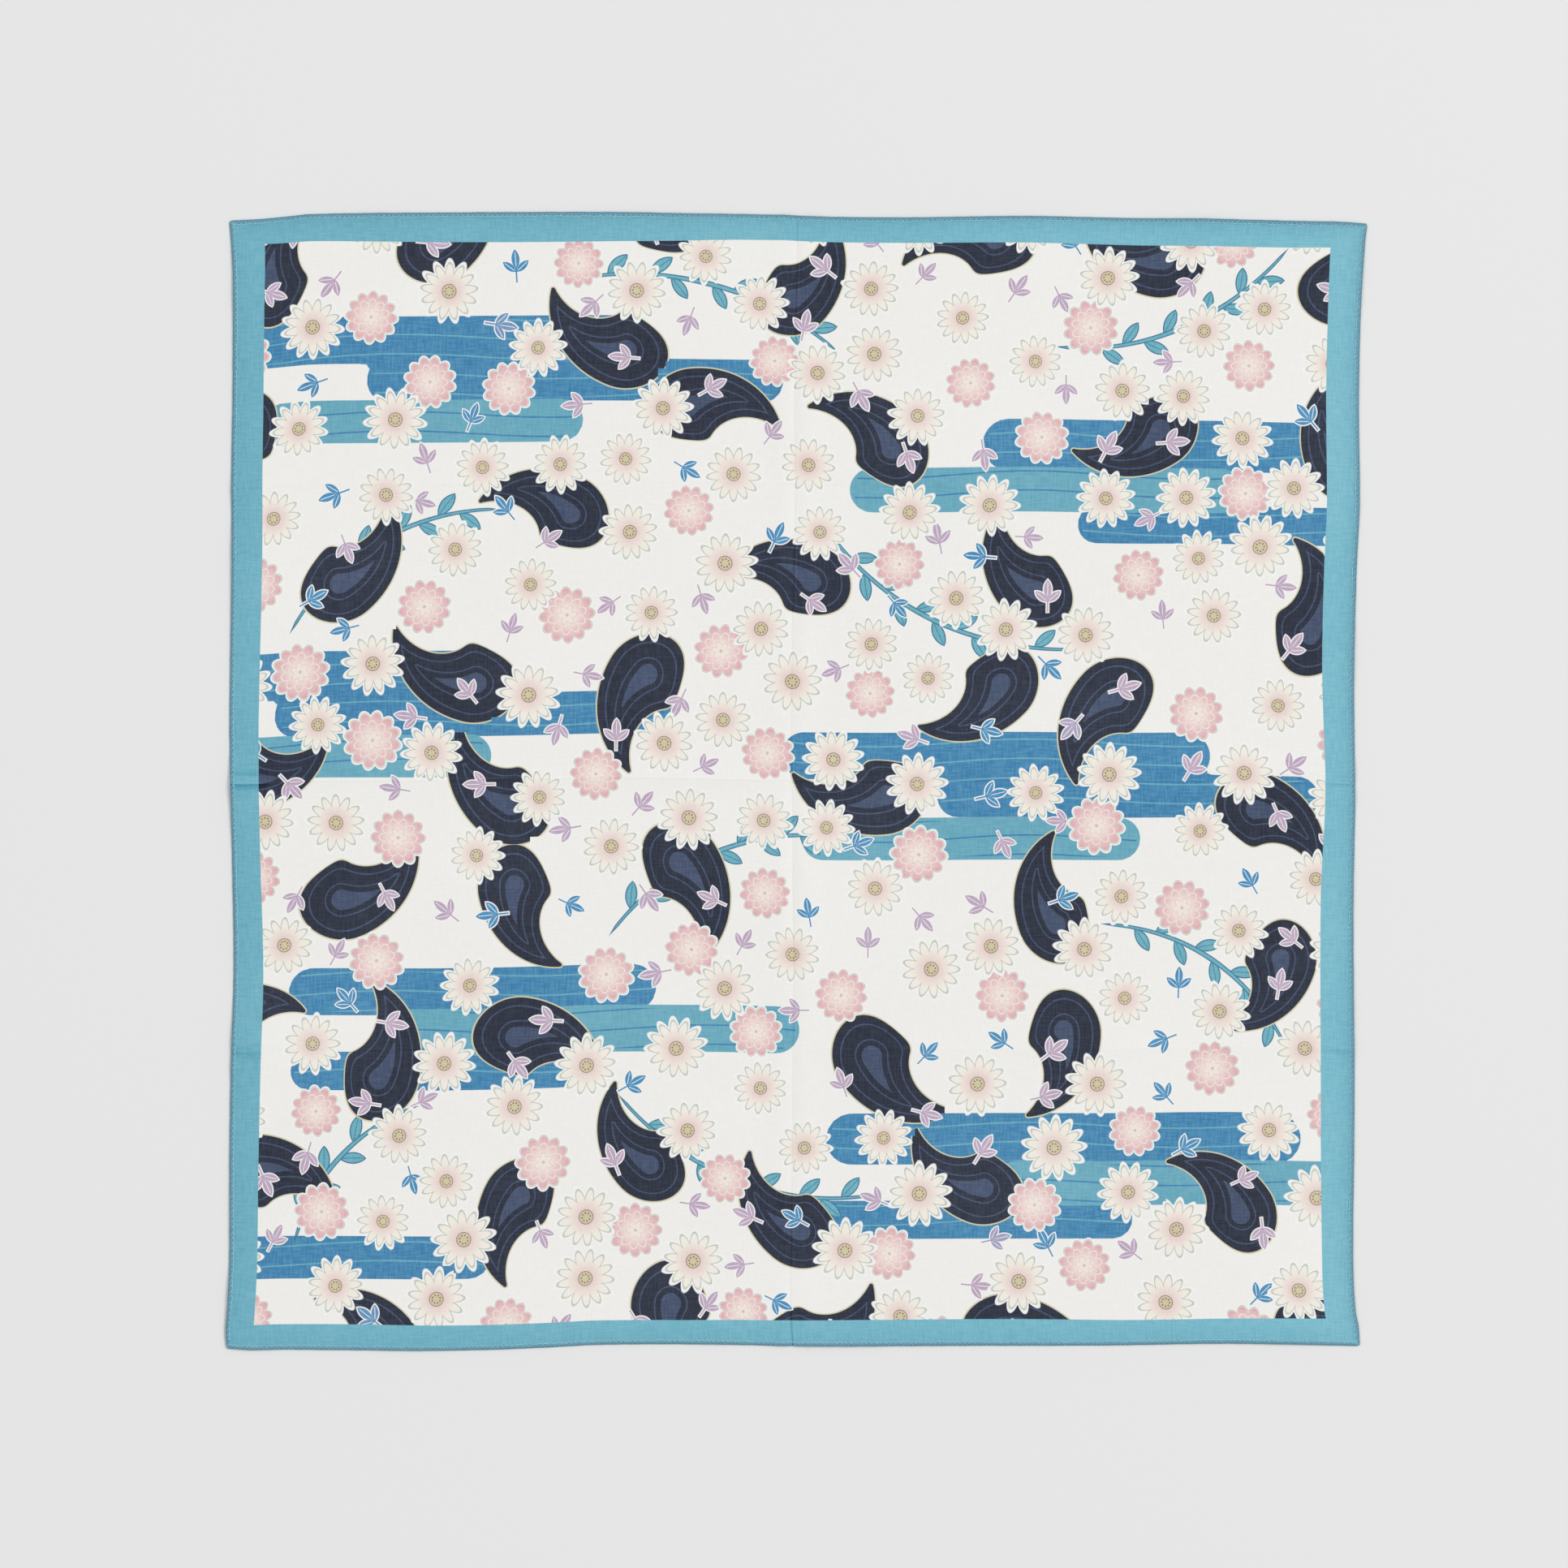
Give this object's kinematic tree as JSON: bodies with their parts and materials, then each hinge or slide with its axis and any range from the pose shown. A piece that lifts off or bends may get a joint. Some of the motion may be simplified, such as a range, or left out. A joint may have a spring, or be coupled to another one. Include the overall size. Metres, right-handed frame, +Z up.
{
  "type": "laid-out bandana",
  "caption": "Square printed cotton bandana laid out flat, face up, with a narrow overlocked hem, an uneven outline and soft fold creases; worn as a neck or head scarf.",
  "frame": {"origin": "middle of the cloth's footprint, on the surface it lies on", "axes": "+Z up out of the printed face, +X to the right and +Y to the far edge as seen from the near side"},
  "size_m": [0.5362, 0.5348, 0.0026],
  "materials": {
    "printed_cotton": "matt plain-weave cotton, printed on the face, with a plain border and overlock thread round the hem"
  },
  "bodies": {
    "root": {"bandana_cloth": "printed_cotton"}
  },
  "joints": []
}
